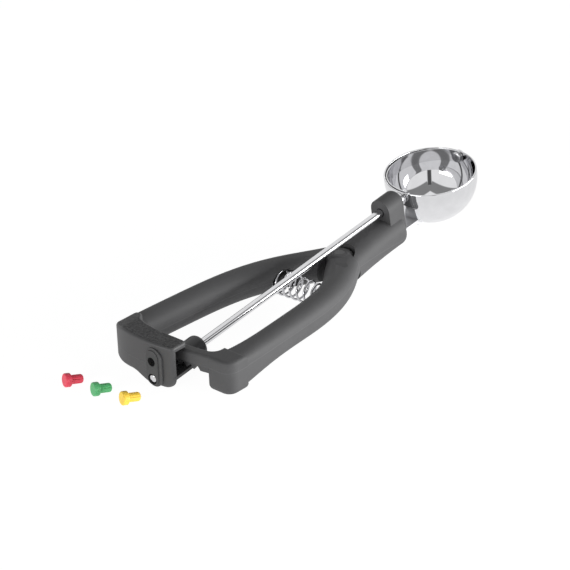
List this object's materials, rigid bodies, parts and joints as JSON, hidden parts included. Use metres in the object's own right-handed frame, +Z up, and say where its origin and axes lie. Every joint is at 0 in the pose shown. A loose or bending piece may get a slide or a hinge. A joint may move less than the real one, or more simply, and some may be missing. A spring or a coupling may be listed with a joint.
{
  "type": "ice cream scoop",
  "caption": "Squeeze-handle ice cream scoop: two plastic grips on a sprung hinge, a rack and pinion that turns a rod, a polished bowl with a scraper strip, and loose size plugs.",
  "frame": {"origin": "on the table, at the flat underside of the hinge, below the hinge pin's axis", "axes": "+X forward to the bowl, +Y to the fixed handle, +Z up from the table"},
  "size_m": [0.27, 0.0766, 0.0389],
  "materials": {
    "grip_plastic": "satin",
    "block_plastic": "matte",
    "gear_plastic": "satin",
    "polished_steel": "mirror",
    "plain_steel": "bright",
    "spring_steel": "bright",
    "red_plastic": "glossy",
    "green_plastic": "glossy",
    "yellow_plastic": "glossy"
  },
  "bodies": {
    "frame": {"fixed_handle": "grip_plastic", "end_block": "block_plastic", "bearing_cap": "grip_plastic", "hinge_pin": "plain_steel", "return_spring": "spring_steel", "hood_bush": "gear_plastic", "bowl": "polished_steel", "bowl_bracket": "plain_steel", "bowl_bush": "plain_steel", "far_rivet": "plain_steel"},
    "lever": {"lever_handle": "grip_plastic", "hinge_cap": "grip_plastic"},
    "drive": {"drive_rod": "polished_steel", "pinion": "gear_plastic", "pinion_pin": "plain_steel", "rod_collar": "plain_steel", "scraper_blade": "plain_steel", "blade_nut": "plain_steel"},
    "red_plug": {"plug_red": "red_plastic"},
    "green_plug": {"plug_green": "green_plastic"},
    "yellow_plug": {"plug_yellow": "yellow_plastic"}
  },
  "joints": [
    {"name": "lever_hinge", "type": "hinge", "parent": "frame", "child": "lever", "pos_m": [0, 0, 0], "axis": [0, 0, -1], "range_deg": [0, 5.4], "stiffness_Nm_per_rad": 1.2, "springref_deg": -20.05, "deforming": ["return_spring"]},
    {"name": "scraper_spin", "type": "hinge", "parent": "frame", "child": "drive", "pos_m": [0, 0, 0.0225], "axis": [-0.9914, 0, -0.1305], "range_deg": [0, 168.07]},
    {"name": "plug_red_lift", "type": "slide", "parent": "frame", "child": "red_plug", "axis": [0, 0, 1], "range_m": [0, 0.03]},
    {"name": "plug_green_lift", "type": "slide", "parent": "frame", "child": "green_plug", "axis": [0, 0, 1], "range_m": [0, 0.03]},
    {"name": "plug_yellow_lift", "type": "slide", "parent": "frame", "child": "yellow_plug", "axis": [0, 0, 1], "range_m": [0, 0.03]}
  ],
  "couplings": [
    {"joint": "scraper_spin", "follows": "lever_hinge", "ratio": 31.125}
  ]
}
